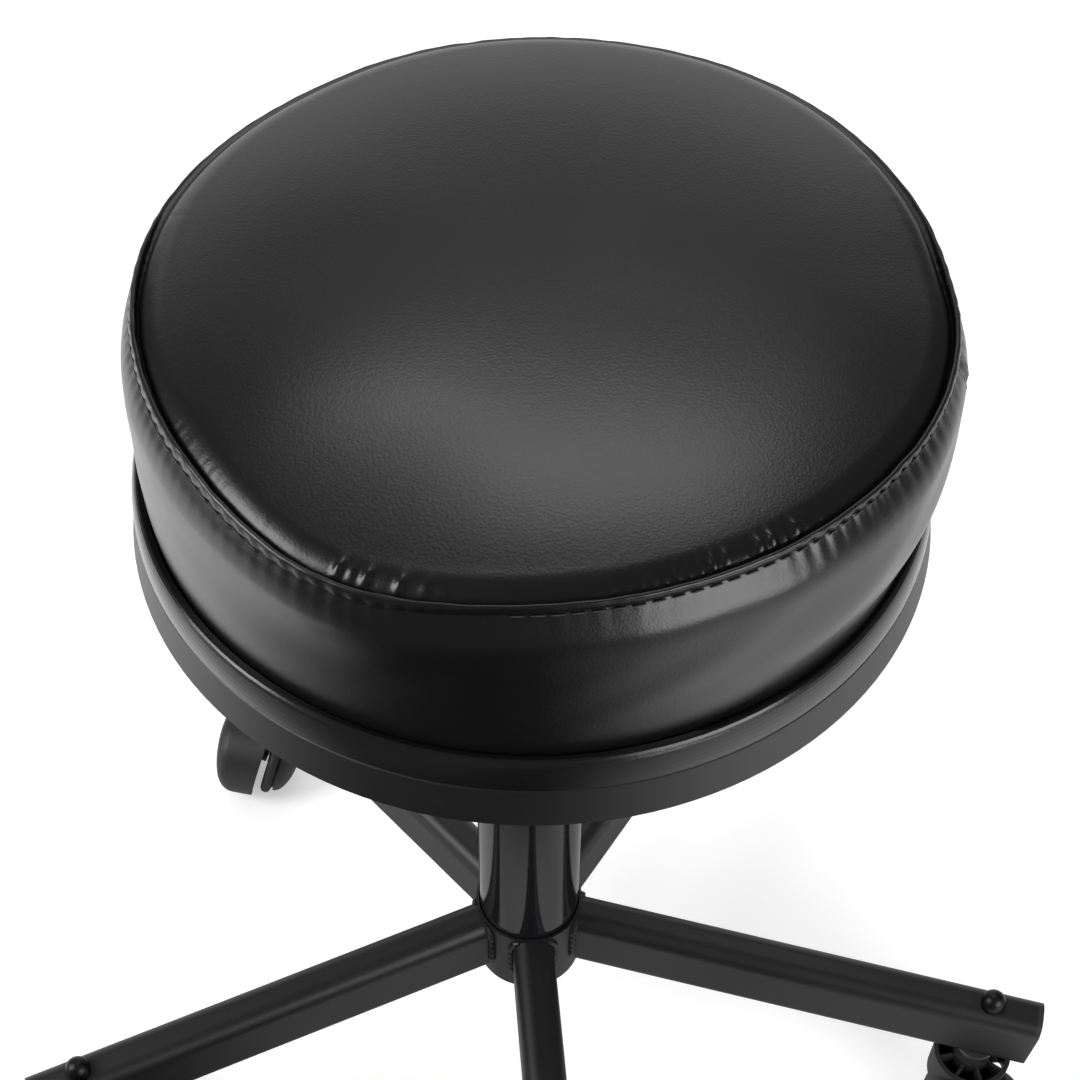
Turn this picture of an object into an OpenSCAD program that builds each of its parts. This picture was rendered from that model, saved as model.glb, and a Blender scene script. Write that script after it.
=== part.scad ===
// Rolling stool: a round padded seat on a gas lift column, five welded tube legs and hooded casters.
// Origin on the floor at the column's axis, +Z up, millimetres, seat at its lowest setting.

/* [Seat ring] */
// Height of the ring's lower edge above the floor
ring_z = 423; // [410:1:460]
// Diameter of the ring at its lower edge
ring_d = 306.6; // [300:0.2:325]
// Height of the ring
ring_h = 31; // [27:1:36]
// Height of the satin band under the bead
ring_band_h = 18; // [14:1:20]
// How far the band leans in
ring_lean = 2.7; // [0.5:0.1:3.5]
// How far the bead rolls in above the band
ring_roll = 3.6; // [2.5:0.1:4.5]
// Depth of the groove between band and bead
ring_groove = 0.8; // [0.4:0.1:1.2]
// Thickness of the ring's sheet
ring_t = 2; // [1.6:0.1:2.4]
// Width of the flange that carries the seat board
ring_flange_w = 24; // [18:1:30]

/* [Cushion] */
// Clearance between the ring's lip and the cover
crevice_gap = 1; // [0.6:0.1:2]
// Height of the seam above the ring's lower edge
seam_h = 106; // [96:1:116]
// Diameter of the seam
seam_d = 282; // [276:1:286]
// Diameter where the side bulges most
bulge_d = 296; // [292:1:298]
// Height of that bulge above the ring's lower edge
bulge_h = 84; // [70:1:90]
// Rise of the top panel's crown above the seam
crown_h = 10; // [5:1:20]
// Steepness of the crown's edge
crown_power = 3; // [2:0.5:5]
// Thickness of the vinyl cover
cover_t = 1.2; // [0.8:0.1:1.6]
// Thickness of the fold that is sewn along the seam
welt_t = 3.4; // [2.4:0.2:5]
// Width of the fold
welt_w = 5.4; // [4:0.2:7]
// Width of the cover's hem under the board
hem_w = 20; // [12:1:22]
// Clearance between soft layers
soft_gap = 0.3; // [0.2:0.1:0.5]

/* [Seat board and plate] */
// Thickness of the seat board
board_t = 12; // [9:1:15]
// Side of the seat plate's flange
plate_side = 150; // [140:1:156]
// Thickness of the seat plate's sheet
plate_t = 2.5; // [2:0.5:3]
// Diameter of the pan pressed into the plate
pan_d = 98; // [92:1:104]
// Depth of the pan
pan_depth = 27; // [25:1:30]
// Spacing of the plate's bolts
bolt_spacing = 120; // [112:1:124]
// Diameter of the plate's bolts
bolt_d = 6; // [5:1:8]
// Outer diameter of the socket for the gas cylinder
socket_d = 37; // [34:1:40]
// Length of the socket under the pan
socket_len = 34; // [28:1:36]
// Number of screws that hold the ring to the board
ring_screw_count = 8; // [4:1:12]

/* [Gas lift] */
// Outer diameter of the column tube
column_d = 50.8; // [46:0.2:52]
// Wall of the column tube
column_wall = 1.9; // [1.5:0.1:2.5]
// Height of the column tube's top above the floor
column_top = 355; // [330:1:356]
// Height of the column tube's foot above the floor
column_foot = 84; // [80:1:90]
// Length of the taper at the column's foot
taper_len = 28; // [20:1:32]
// How much the foot's radius narrows over the taper
taper_in = 0.9; // [0.5:0.1:1.2]
// Diameter of the gas cylinder
cylinder_d = 28; // [26:0.5:30]
// Wall of the gas cylinder
cylinder_wall = 1.5; // [1.2:0.1:2]
// Diameter of the piston rod
rod_d = 10; // [8:0.5:11]
// Stroke of the gas lift
stroke = 120; // [80:1:125]
// Length of the guide bush in the column
bush_len = 70; // [50:1:80]
// Diameter of the release pin
pin_d = 5; // [4:0.5:6]
// Travel of the release pin
pin_travel = 3; // [2:0.5:4]

/* [Release lever] */
// Direction of the lever seen from above
lever_az = 62; // [0:1:359]
// Diameter of the lever's rod
lever_d = 7; // [6:0.5:8]
// Distance from the column's axis to the lever's pivot
lever_pivot_r = 33; // [31:1:35]
// Distance from the column's axis to the lever's tip
lever_reach = 142; // [120:1:150]
// How far the handle hangs under the pivot
lever_drop = 17; // [15:1:24]
// Diameter of the lever's grip
grip_d = 13; // [11:0.5:15]
// Length of the grip
grip_len = 52; // [40:1:56]

/* [Base] */
// Outer diameter of the hub collar
collar_d = 54.5; // [54.2:0.1:58]
// Height of the collar's rim above the floor
collar_top = 122; // [121:1:126]
// Height of the collar
collar_h = 47; // [44:1:50]
// Width of a leg
leg_w = 21; // [19:0.5:23]
// Depth of a leg from its top to its underside
leg_h = 40.5; // [36:0.5:43]
// Roundness of a leg's edges
leg_round = 8; // [5:0.5:9]
// Wall of a leg
leg_wall = 1.6; // [1.2:0.1:2.4]
// Height of the legs' top at the collar below the collar's rim
leg_step = 1; // [0.5:0.5:4]
// Slope of the legs down to their tips, in degrees
leg_slope = 3.2; // [1:0.1:4]
// Distance from the column's axis to the legs' tips
leg_reach = 266; // [255:1:280]
// Radius of the weld beads
weld_r = 1.7; // [1.3:0.1:2.4]
// Rise of a weld's ripples
weld_ripple = 0.35; // [0:0.05:0.5]

/* [Casters] */
// Distance from a leg's tip in to the caster's stem
stem_inset = 25; // [18:1:32]
// Diameter of a caster's stem
stem_d = 10; // [8:1:11]
// Diameter of the wheel over its tread
wheel_d = 50; // [46:1:52]
// Tilt of the axle out of the level, in degrees
axle_tilt = 15; // [8:1:18]
// Distance from the stem's axis back to the axle
trail = 22; // [18:1:24]
// Distance from the stem's axis to the tread, measured level along the axle
tread_offset = 10; // [8:1:13]
// Diameter of the axle
axle_d = 6; // [5:0.5:7]
// Width of the wheel from its tread side to its dome's tip
wheel_w = 17; // [15:1:19]
// Width of the soft tread
tread_w = 6; // [5:0.5:8]
// Height of the soft tread over the wheel's core
tread_h = 3.5; // [3:0.5:5]
// Width of the slot between hood and wheel
slot_w = 3.6; // [3:0.2:5]
// Radius of the hood round the axle
hood_r = 28; // [27:0.5:29]
// Wall of the hood
hood_wall = 2.4; // [2:0.2:3]
// Distance from the stem's axis to the hood's closed end
hood_end = 21; // [19:0.5:23]
// Roundness of the hood's closed end
hood_round = 8; // [5:0.5:10]
// Height of the hood's lower edge above the floor
hood_clearance = 9; // [7:0.5:12]
// Outer radius of the cup on top of the hood
cup_r = 20; // [19:0.5:21]
// Height of the cup's rim above the floor
cup_top = 56; // [54.5:0.5:57]
// Depth of the pockets in the cup
pocket_depth = 20; // [14:1:22]
// Radius of the boss round the stem
boss_r = 9.5; // [8:0.5:10]
// Number of ribs between boss and cup
rib_count = 8; // [5:1:10]
// Thickness of the ribs
rib_t = 1.6; // [1.2:0.1:2]

/* [Hidden] */

// Casters: which way the wheel's side of each one points, as it was left standing
caster_heading = [-58, 4, 121, -17, 166];
leg_count = 5;
first_leg_az = -90;

// Fits
run_fit = 0.05;
snug_fit = 0.02;
hole_fit = 0.3;
eps = 0.01;
round_fn = 96;
small_fn = 48;

// Colours
satin_black = [0.07, 0.07, 0.075];
gloss_black = [0.03, 0.03, 0.035];
vinyl_black = [0.05, 0.05, 0.05];
plastic_black = [0.06, 0.06, 0.065];
steel_grey = [0.62, 0.62, 0.64];
wood_tan = [0.72, 0.58, 0.4];
foam_cream = [0.85, 0.8, 0.62];
rubber_grey = [0.12, 0.12, 0.12];

// Seat: heights above the ring's lower edge, before seat_up() lifts them
ring_r = ring_d / 2;
lip_r = ring_r - ring_lean - ring_roll;
cover_low_r = lip_r - ring_t - crevice_gap;
hem_z = ring_t + soft_gap;
board_z = hem_z + cover_t + soft_gap;
board_r = cover_low_r - cover_t - soft_gap;
board_top = board_z + board_t;
plate_z = board_z - plate_t;
pan_z = plate_z - pan_depth;
pan_floor_top = pan_z + plate_t;
socket_z = pan_z - socket_len;
welt_z = seam_h - welt_w / 2 - 0.2;

// Gas lift heights above the floor
column_r = column_d / 2;
column_bore_r = column_r - column_wall;
foot_plate_t = 3;
foot_top = column_foot + foot_plate_t;
bearing_h = 6;
buffer_h = 5;
buffer_z = foot_top + bearing_h + run_fit;
cylinder_z = buffer_z + buffer_h + 0.5;
cylinder_r = cylinder_d / 2;
cylinder_bore_r = cylinder_r - cylinder_wall;
cylinder_top = ring_z + pan_floor_top + 3;
cylinder_end_t = 12;
piston_h = 12;
piston_z = cylinder_z + cylinder_end_t + stroke + 6;
bush_flange_h = 2.5;
socket_cone = 0.8;
rod_neck_d = rod_d - 2;
clip_t = 1.2;
clip_z = column_foot - clip_t - 0.4;
clip_groove_r = rod_neck_d / 2 - 0.7;
pin_stick_out = pin_travel + 4;
pin_top = cylinder_top + pin_stick_out;
pin_len = 26;

// Lever: the rod lies over the pin, and its pivot is outside the pin
lever_gap = 0.3;
lever_z = pin_top + lever_gap + lever_d / 2 - ring_z;
lever_in = 8;
pivot_d = 4;
ear_t = 2.5;
ear_gap = 0.4;
lever_bend_r = pan_d / 2 + 10;
lever_window = lever_d + 9;

// Base
stem_r = leg_reach - stem_inset;
collar_r = collar_d / 2;
collar_z = collar_top - collar_h;
leg_mid_z = collar_top - leg_step - leg_h / 2;
leg_az = [for (i = [0 : leg_count - 1]) first_leg_az + i * 360 / leg_count];
cap_plate = 2.5;
cap_plug = 10;

// Casters
wheel_r = wheel_d / 2;
tread_mid_r = wheel_r - tread_w / 2;
hub_r = 7;
axle_z = tread_mid_r * cos(axle_tilt) + tread_w / 2;
wheel_side = tread_w / 2;
dome_gap = 1.2;
thread_r = stem_d / 2 - 1;
stem_hole_r = thread_r + hole_fit;
leg_under_z = leg_mid_z - leg_h / 2 / cos(leg_slope) - (stem_r - collar_r) * tan(leg_slope);
leg_over_z = leg_under_z + leg_h / cos(leg_slope);
flange_r = 10;
flange_h = 3;
stem_flange_top = leg_under_z - flange_r * tan(leg_slope) - 0.05;
stem_foot = cup_top - pocket_depth - 1;
washer_h = 0.8;
washer_top = leg_over_z + washer_h;
nut_r = thread_r + 2.2;
nut_h = 1.6;
washer_r = nut_r + 0.2;
thread_up = 4;

module around(n) {
  for (i = [0 : n - 1]) rotate([0, 0, i * 360 / n]) children();
}

module on_leg(i) {
  rotate([0, 0, leg_az[i - 1]]) children();
}

module at_stem(i) {
  on_leg(i) translate([stem_r, 0, 0]) children();
}

module at_caster(i) {
  at_stem(i) rotate([0, 0, caster_heading[i - 1] - leg_az[i - 1]]) children();
}

// Puts local Z along the axle, with the origin at the middle of the tread
module on_axle() {
  translate([tread_offset, -trail, axle_z]) rotate([0, 90 + axle_tilt, 0]) children();
}

module seat_up() {
  translate([0, 0, ring_z]) children();
}

module ring(r_out, r_in, h) {
  difference() {
    cylinder(h = h, r = r_out, $fn = round_fn);
    translate([0, 0, -1]) cylinder(h = h + 2, r = r_in, $fn = round_fn);
  }
}

module rounded_plate(a, b, r) {
  square([a - 2 * r, b], center = true);
  square([a, b - 2 * r], center = true);
  for (x = [-1, 1], y = [-1, 1]) translate([x * (a / 2 - r), y * (b / 2 - r)]) circle(r = r, $fn = small_fn);
}

// Rounded outline of a leg drawn in by an inset, its depth along X
module leg_outline(inset) {
  rounded_plate(leg_h - 2 * inset, leg_w - 2 * inset, leg_round - inset);
}

// Runs its outline from radius a to radius b along a leg
module leg_run(a, b) {
  translate([0, 0, leg_mid_z + collar_r * tan(leg_slope)]) rotate([0, 90 + leg_slope, 0])
    translate([0, 0, a / cos(leg_slope)]) linear_extrude((b - a) / cos(leg_slope)) children();
}

module leg(i) {
  color(satin_black) on_leg(i) difference() {
    leg_run(collar_r - 8, leg_reach - cap_plate) leg_outline(0);
    leg_run(collar_r - 10, leg_reach) leg_outline(leg_wall);
    translate([0, 0, collar_z - 10]) cylinder(h = collar_h + 20, r = collar_r + run_fit, $fn = round_fn);
    translate([stem_r, 0, 0]) cylinder(h = leg_under_z + leg_h / 2, r = stem_d / 2 + hole_fit, $fn = small_fn);
    translate([stem_r, 0, 0]) cylinder(h = collar_top, r = stem_hole_r, $fn = small_fn);
  }
}

module leg_end_caps() {
  color(plastic_black) for (i = [1 : leg_count]) on_leg(i) {
    leg_run(leg_reach - cap_plate, leg_reach) leg_outline(0);
    leg_run(leg_reach - cap_plate - cap_plug, leg_reach - cap_plate + 1) leg_outline(leg_wall + 0.06);
  }
}

module hub_collar() {
  color(satin_black) difference() {
    translate([0, 0, collar_z]) cylinder(h = collar_h, r = collar_r, $fn = round_fn);
    rotate_extrude($fn = round_fn) polygon([
      [0, collar_z - 1],
      [column_r - taper_in + run_fit, collar_z - 1],
      [column_r - taper_in + run_fit, column_foot],
      [column_r + run_fit, column_foot + taper_len],
      [column_r + run_fit + 0.5, collar_top + eps],
      [0, collar_top + eps]
    ]);
  }
}

// Points of the weld on one side of a leg: up the collar, then a little round the leg's upper edge
weld_off = weld_r * 0.3;
weld_rise = 10;
weld_turn = 4;
weld_edge = leg_h / 2 - leg_round;
function on_collar(y, z) = [sqrt(pow(collar_r + weld_off, 2) - y * y), y, z];
function weld_path() = concat(
  [for (k = [0 : weld_rise]) on_collar(leg_w / 2 + weld_off, leg_mid_z - weld_edge + 2 * weld_edge * k / weld_rise)],
  [for (k = [1 : weld_turn]) let (a = 55 * k / weld_turn)
    on_collar(leg_w / 2 - leg_round + (leg_round + weld_off) * cos(a), leg_mid_z + weld_edge + (leg_round + weld_off) * sin(a))]
);

function unit(v) = v / norm(v);

// A closed tube of n sides through the points, rippled from ring to ring and thickest just before its upper end
module swept_bead(path, r, ripple, n) {
  last = len(path) - 1;
  rings = [for (k = [0 : last])
    let (
      along = unit(path[min(k + 1, last)] - path[max(k - 1, 0)]),
      out = unit([path[k][0], path[k][1], 0]),
      side = unit(cross(along, out)),
      up = cross(side, along),
      rr = (k == 0 || k == last) ? r * 0.5 : k > last - 4 ? r * 1.35 - ripple : r + (k % 2 == 0 ? ripple : -ripple)
    )
    for (j = [0 : n - 1]) path[k] + rr * (cos(j * 360 / n) * side + sin(j * 360 / n) * up)];
  walls = [for (k = [0 : last - 1]) for (j = [0 : n - 1])
    let (a = k * n + j, b = k * n + (j + 1) % n)
    for (f = [[a, b, b + n], [a, b + n, a + n]]) f];
  ends = [[for (j = [n - 1 : -1 : 0]) j], [for (j = [0 : n - 1]) last * n + j]];
  polyhedron(points = rings, faces = concat(walls, ends), convexity = 4);
}

module leg_welds() {
  color(satin_black) for (i = [1 : leg_count]) on_leg(i) {
    swept_bead(weld_path(), weld_r, weld_ripple, 7);
    mirror([0, 1, 0]) swept_bead(weld_path(), weld_r, weld_ripple, 7);
  }
}

module column_tube() {
  color(gloss_black) rotate_extrude($fn = round_fn) polygon([
    [rod_neck_d / 2 + 0.5, column_foot],
    [column_r - taper_in, column_foot],
    [column_r, column_foot + taper_len],
    [column_r, column_top],
    [column_bore_r, column_top],
    [column_bore_r, foot_top],
    [rod_neck_d / 2 + 0.5, foot_top]
  ]);
}

module guide_bush() {
  color(plastic_black) {
    translate([0, 0, column_top - bush_len]) ring(column_bore_r - snug_fit, cylinder_r + run_fit, bush_len);
    translate([0, 0, column_top]) ring(column_r, cylinder_r + run_fit, bush_flange_h);
  }
}

// Two washers with a caged ring of balls between them
module thrust_bearing() {
  race_h = 1.6;
  ball_r = (bearing_h - 2 * race_h) / 2 - 0.05;
  ball_ring = 8.4;
  inner = rod_neck_d / 2 + 0.3;
  outer = 12;
  color(steel_grey) translate([0, 0, foot_top]) {
    ring(outer, inner, race_h);
    translate([0, 0, bearing_h - race_h]) ring(outer, inner, race_h);
    around(9) translate([ball_ring, 0, bearing_h / 2]) sphere(r = ball_r, $fn = 24);
    translate([0, 0, bearing_h / 2 - 0.5]) difference() {
      ring(outer - 0.8, inner + 0.4, 1);
      around(9) translate([ball_ring, 0, -1]) cylinder(h = 3, r = ball_r + 0.15, $fn = 24);
    }
  }
}

module piston_rod() {
  color(steel_grey) rotate_extrude($fn = small_fn) polygon([
    [0, clip_z - 4],
    [rod_neck_d / 2 - 0.6, clip_z - 4],
    [rod_neck_d / 2, clip_z - 3.4],
    [rod_neck_d / 2, clip_z - snug_fit],
    [clip_groove_r, clip_z - snug_fit],
    [clip_groove_r, clip_z + clip_t + snug_fit],
    [rod_neck_d / 2, clip_z + clip_t + snug_fit],
    [rod_neck_d / 2, buffer_z],
    [rod_d / 2, buffer_z],
    [rod_d / 2, piston_z + piston_h + 4],
    [0, piston_z + piston_h + 4]
  ]);
}

// Spring clip in the rod's groove under the column's foot plate
module rod_clip() {
  color(steel_grey) translate([0, 0, clip_z]) difference() {
    ring(rod_neck_d / 2 + 3.5, clip_groove_r + run_fit, clip_t);
    translate([0, -1.4, -1]) cube([rod_neck_d, 2.8, clip_t + 2]);
  }
}

module rod_buffer() {
  color(rubber_grey) translate([0, 0, buffer_z + 0.1]) difference() {
    ring(cylinder_r - 2.5, rod_d / 2 + snug_fit, buffer_h);
    rotate_extrude($fn = small_fn) translate([cylinder_r - 2.5, buffer_h / 2]) circle(r = 0.9, $fn = 24);
  }
}

module piston() {
  color(steel_grey) translate([0, 0, piston_z]) difference() {
    ring(cylinder_bore_r - run_fit, rod_d / 2 + snug_fit, piston_h);
    translate([0, 0, piston_h / 2 - 1.2]) ring(cylinder_bore_r + 1, cylinder_bore_r - 1.4, 2.4);
  }
}

module gas_cylinder() {
  cone_z = ring_z + socket_z - 4;
  color(steel_grey) rotate_extrude($fn = round_fn) polygon([
    [rod_d / 2 + run_fit, cylinder_z],
    [cylinder_r - 1, cylinder_z],
    [cylinder_r, cylinder_z + 1],
    [cylinder_r, cone_z],
    [cylinder_r - socket_cone, cylinder_top],
    [pin_d / 2 + run_fit, cylinder_top],
    [pin_d / 2 + run_fit, cylinder_top - cylinder_end_t],
    [cylinder_bore_r, cylinder_top - cylinder_end_t],
    [cylinder_bore_r, cylinder_z + cylinder_end_t],
    [rod_d / 2 + run_fit, cylinder_z + cylinder_end_t]
  ]);
}

module release_pin() {
  color(steel_grey) translate([0, 0, pin_top - pin_len]) {
    cylinder(h = pin_len - 1, r = pin_d / 2, $fn = small_fn);
    translate([0, 0, pin_len - 1]) cylinder(h = 1, r1 = pin_d / 2, r2 = pin_d / 2 - 0.8, $fn = small_fn);
  }
}

module in_lever_frame() {
  rotate([0, 0, lever_az]) children();
}

module at_pivot() {
  in_lever_frame() translate([lever_pivot_r, 0, ring_z + lever_z]) children();
}

module bolt_places() {
  for (x = [-1, 1], y = [-1, 1]) translate([x * bolt_spacing / 2, y * bolt_spacing / 2, 0]) children();
}

// Pressed plate with a round pan, the cylinder's socket welded into it and two ears for the lever
module seat_plate() {
  color(satin_black) {
    seat_up() difference() {
      union() {
        translate([0, 0, plate_z]) linear_extrude(plate_t) rounded_plate(plate_side, plate_side, plate_side * 0.12);
        translate([0, 0, pan_z]) cylinder(h = pan_depth + plate_t, r = pan_d / 2, $fn = round_fn);
        translate([0, 0, socket_z]) cylinder(h = socket_len, r = socket_d / 2, $fn = round_fn);
      }
      translate([0, 0, pan_floor_top]) cylinder(h = pan_depth + 5, r = pan_d / 2 - plate_t, $fn = round_fn);
      translate([0, 0, -ring_z]) socket_bore();
      bolt_places() translate([0, 0, plate_z - 1]) cylinder(h = plate_t + 2, r = bolt_d / 2 + hole_fit, $fn = small_fn);
      in_lever_frame() translate([pan_d / 2, 0, lever_z - 1]) cube([pan_d / 5, lever_d + 3, lever_window], center = true);
    }
    in_lever_frame() for (s = [-1, 1]) lever_ear(s);
  }
}

module socket_bore() {
  low = ring_z + socket_z - 4;
  rotate_extrude($fn = round_fn) polygon([
    [0, low - 1],
    [cylinder_r + snug_fit, low - 1],
    [cylinder_r + snug_fit, low],
    [cylinder_r - socket_cone + snug_fit, cylinder_top],
    [cylinder_r - socket_cone + snug_fit, cylinder_top + 1],
    [0, cylinder_top + 1]
  ]);
}

module lever_ear(s) {
  y = s * (lever_d / 2 + ear_gap + ear_t / 2);
  floor_z = ring_z + pan_floor_top;
  top_z = lever_z + ring_z;
  difference() {
    union() {
      translate([lever_pivot_r - 5, y - ear_t / 2, floor_z - eps]) cube([10, ear_t, top_z - floor_z]);
      translate([lever_pivot_r, y, top_z]) rotate([90, 0, 0]) cylinder(h = ear_t, r = 5, center = true, $fn = small_fn);
    }
    translate([lever_pivot_r, y, top_z]) rotate([90, 0, 0])
      cylinder(h = ear_t + 2, r = pivot_d / 2 + snug_fit, center = true, $fn = small_fn);
  }
}

module lever_pivot() {
  half = lever_d / 2 + ear_gap + ear_t;
  color(steel_grey) at_pivot() rotate([90, 0, 0]) {
    cylinder(h = 2 * half + 1, r = pivot_d / 2, center = true, $fn = small_fn);
    for (s = [-1, 1]) translate([0, 0, s * (half + 0.8)]) cylinder(h = 1.4, r = pivot_d / 2 + 1.2, center = true, $fn = small_fn);
  }
}

// Rod with two bends in one plane: level over the pin, down past the pan's wall and level again
lever_bend_in = 9;
lever_bend_turn = 45;
lever_straight = (lever_drop - 2 * lever_bend_in * (1 - cos(lever_bend_turn))) / sin(lever_bend_turn);
lever_slant = [cos(lever_bend_turn), 0, -sin(lever_bend_turn)];
lever_p1 = [lever_bend_r + lever_bend_in * sin(lever_bend_turn), 0, -lever_bend_in * (1 - cos(lever_bend_turn))];
lever_p2 = lever_p1 + lever_straight * lever_slant;
lever_c2 = lever_p2 + lever_bend_in * [sin(lever_bend_turn), 0, cos(lever_bend_turn)];
lever_end_inset = 6;
lever_lap = 0.4;

module lever_arc(centre, from) {
  translate(centre) rotate([90, 0, 0]) rotate([0, 0, from]) rotate_extrude(angle = lever_bend_turn, $fn = round_fn)
    translate([lever_bend_in, 0]) circle(d = lever_d + 3 * snug_fit, $fn = small_fn);
}

// Straight run that laps into the bends at its ends
module lever_rod(from, length, down, lap_start) {
  translate(from) rotate([0, 90 + down, 0]) translate([0, 0, -lap_start])
    cylinder(h = length + lap_start, r = lever_d / 2, $fn = small_fn);
}

module release_lever() {
  color(steel_grey) in_lever_frame() translate([0, 0, ring_z + lever_z]) difference() {
    union() {
      lever_rod([-lever_in, 0, 0], lever_in + lever_bend_r + lever_lap, 0, 0);
      lever_arc([lever_bend_r, 0, -lever_bend_in], 90 - lever_bend_turn);
      lever_rod(lever_p1, lever_straight + lever_lap, lever_bend_turn, lever_lap);
      lever_arc(lever_c2, 270 - lever_bend_turn);
      lever_rod([lever_c2[0], 0, -lever_drop], lever_reach - lever_end_inset - lever_c2[0], 0, lever_lap);
      translate([lever_pivot_r, 0, 0]) rotate([90, 0, 0]) cylinder(h = lever_d, r = 5, center = true, $fn = small_fn);
    }
    translate([lever_pivot_r, 0, 0]) rotate([90, 0, 0])
      cylinder(h = lever_d * 2, r = pivot_d / 2 + run_fit, center = true, $fn = small_fn);
  }
}

module lever_grip() {
  end = lever_reach;
  color(plastic_black) in_lever_frame() translate([0, 0, ring_z + lever_z - lever_drop]) rotate([0, 90, 0])
    rotate_extrude($fn = small_fn) polygon([
      [lever_d / 2 + snug_fit, end - grip_len],
      [grip_d / 2 - 1.5, end - grip_len],
      [grip_d / 2, end - grip_len + 6],
      [grip_d / 2 - 0.6, end - grip_len / 2],
      [grip_d / 2, end - 6],
      [grip_d / 2 - 1.6, end - 0.6],
      [0, end],
      [0, end - 2.4],
      [lever_d / 2 + snug_fit, end - 2.4 - snug_fit]
    ]);
}

module plate_bolts() {
  head_h = 4;
  color(steel_grey) seat_up() bolt_places() {
    translate([0, 0, plate_z - head_h]) cylinder(h = head_h, r = bolt_d * 0.9, $fn = 6);
    translate([0, 0, plate_z]) cylinder(h = plate_t + board_t - 1, r = bolt_d / 2, $fn = small_fn);
  }
}

// Flanged nuts let into the board's top
nut_sleeve_r = bolt_d / 2 + 1.3;
nut_sleeve_len = board_t * 0.75;
nut_flange_h = 1.4;
module plate_nuts() {
  color(steel_grey) seat_up() bolt_places() {
    translate([0, 0, board_top - nut_sleeve_len]) ring(nut_sleeve_r, bolt_d / 2 + snug_fit, nut_sleeve_len);
    translate([0, 0, board_top]) ring(bolt_d * 1.5, bolt_d / 2 + snug_fit, nut_flange_h);
  }
}

module seat_board() {
  color(wood_tan) seat_up() difference() {
    translate([0, 0, board_z]) cylinder(h = board_t, r = board_r, $fn = round_fn);
    bolt_places() translate([0, 0, board_z - 1]) cylinder(h = board_t + 2, r = nut_sleeve_r + snug_fit, $fn = small_fn);
    around(ring_screw_count) ring_screw_hole();
  }
}

ring_screw_r = ring_r - ring_flange_w + 7;
module ring_screw_hole() {
  translate([ring_screw_r, 0, -1]) cylinder(h = board_z + 10, r = 2.1, $fn = small_fn);
}

// Outline of the ring's outer face, from its lower edge up the band and over the rolled bead
bead_r = ring_r - ring_lean;
bead_h = ring_h - ring_band_h;
function bead(inset, n) = [for (k = [0 : n]) let (a = 90 * k / n)
  [bead_r - ring_roll - inset * 0.4 + (ring_roll - inset * 0.6) * cos(a), ring_band_h + (bead_h - inset) * sin(a)]];

module seat_ring() {
  color(satin_black) seat_up() difference() {
    rotate_extrude($fn = 180) polygon(concat(
      [[ring_r - ring_flange_w, 0], [ring_r - 1, 0], [ring_r, 1],
       [bead_r, ring_band_h - 1.2], [bead_r - ring_groove, ring_band_h - 0.6], [bead_r - ring_groove, ring_band_h]],
      bead(0, 8),
      [[lip_r - ring_t, ring_h - 0.6], [lip_r - ring_t, ring_h - ring_t]],
      [for (k = [8 : -1 : 0]) bead(ring_t, 8)[k]],
      [[ring_r - ring_t, ring_t + 1], [ring_r - ring_t - 1, ring_t], [ring_r - ring_flange_w, ring_t]]
    ));
    around(ring_screw_count) ring_screw_hole();
  }
}

module ring_screws() {
  color(steel_grey) seat_up() around(ring_screw_count) translate([ring_screw_r, 0, 0]) {
    translate([0, 0, -1.8]) cylinder(h = 1.8, r1 = 2.6, r2 = 3.8, $fn = small_fn);
    cylinder(h = board_z + 8, r = 2, $fn = small_fn);
  }
}

// Cushion outlines, each drawn in from the cover's outside by an inset
seam_r = seam_d / 2;
bulge_r = bulge_d / 2;
function side_r(z) = z > bulge_h
  ? bulge_r - (bulge_r - seam_r) * pow((z - bulge_h) / (seam_h - bulge_h), 3)
  : bulge_r - (bulge_r - cover_low_r) * pow(max(0, (bulge_h - z) / (bulge_h - ring_h)), 1.6);
function low_r(z) = z < ring_h ? cover_low_r : side_r(z);
function top_z(r) = seam_h + crown_h * (1 - pow(r / seam_r, crown_power));
side_steps = 26;
crown_steps = 22;
function side_line(z0, z1, inset) = [for (k = [0 : side_steps]) let (z = z0 + (z1 - z0) * k / side_steps)
  [low_r(z) - inset, z]];
function crown_line(r1, inset) = [for (k = [crown_steps : -1 : 0]) let (r = r1 * k / crown_steps)
  [r, top_z(r) - inset]];

foam_inset = cover_t + soft_gap;
foam_edge_z = seam_h - welt_w * 1.35;
foam_edge_r = seam_r - welt_w * 1.1;
module seat_foam() {
  color(foam_cream) seat_up() difference() {
    rotate_extrude($fn = 180) polygon(concat(
      [[0, board_top], [board_r, board_top]],
      side_line(board_top + 1, foam_edge_z, foam_inset),
      crown_line(foam_edge_r, foam_inset)
    ));
    bolt_places() translate([0, 0, board_top - 1]) cylinder(h = nut_flange_h + 1 + soft_gap, r = bolt_d * 1.5 + soft_gap, $fn = small_fn);
    bolt_places() translate([0, 0, board_top - 1]) cylinder(h = nut_flange_h + 4, r = bolt_d / 2 + 1, $fn = small_fn);
  }
}

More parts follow.
